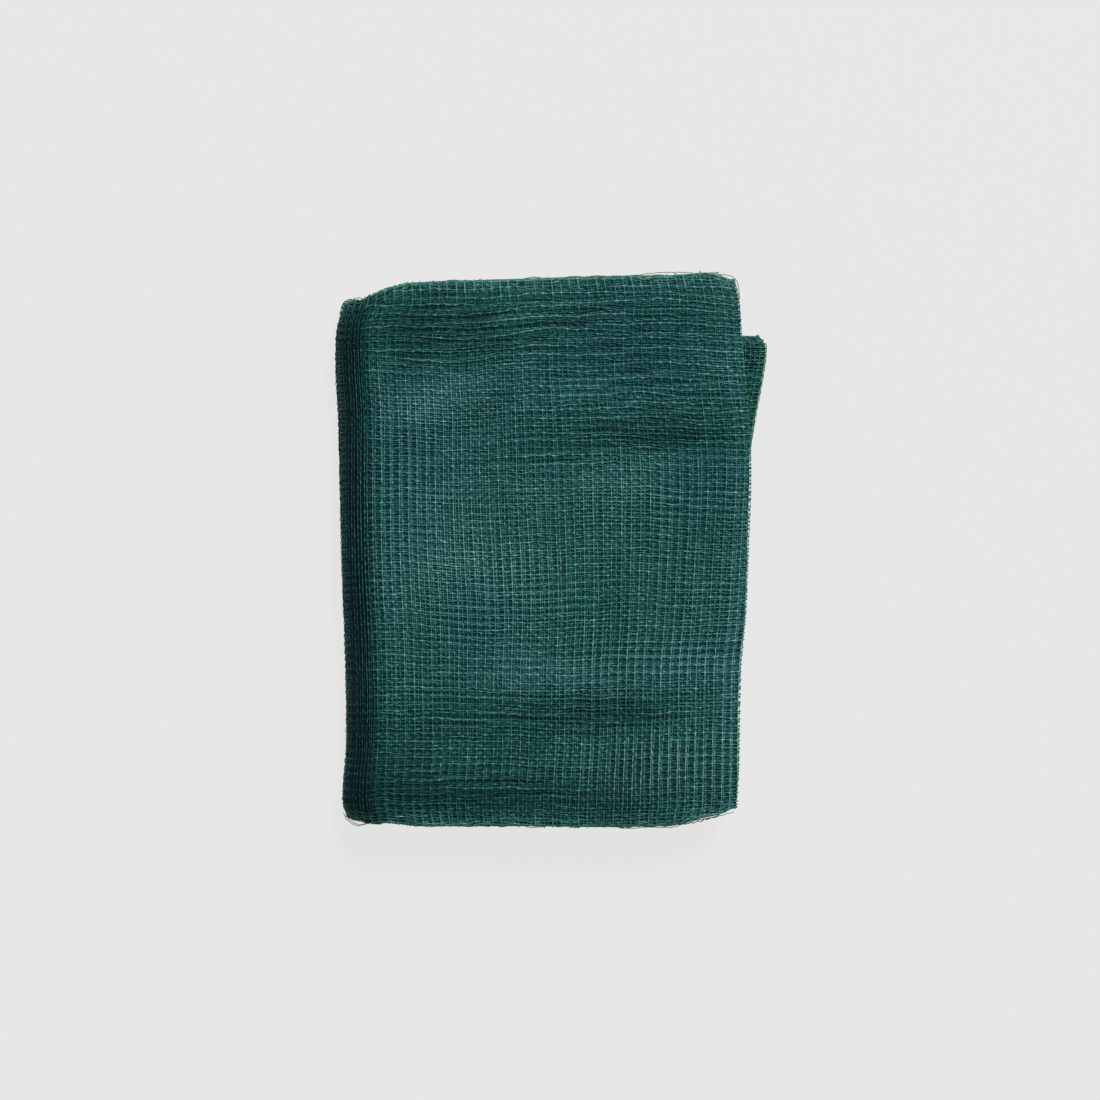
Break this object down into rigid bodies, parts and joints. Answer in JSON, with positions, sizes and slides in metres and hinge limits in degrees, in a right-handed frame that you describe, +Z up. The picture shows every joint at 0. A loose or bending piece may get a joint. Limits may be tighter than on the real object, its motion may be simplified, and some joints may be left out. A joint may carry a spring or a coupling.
{
  "type": "folded harvest net",
  "caption": "Green knitted harvest net, folded back and forth into a flat packet with a rounded spine and open folds.",
  "frame": {"origin": "middle of the packet's footprint, on the face it lies on", "axes": "+Z up, +Y along the packet's longer side, +X across it from the rounded spine to the open folds"},
  "size_m": [0.3262, 0.4174, 0.0418],
  "materials": {
    "knitted_net": "open knit of dark green polyethylene yarn, slightly glossy, many plies deep"
  },
  "bodies": {
    "root": {"net": "knitted_net"}
  },
  "joints": []
}
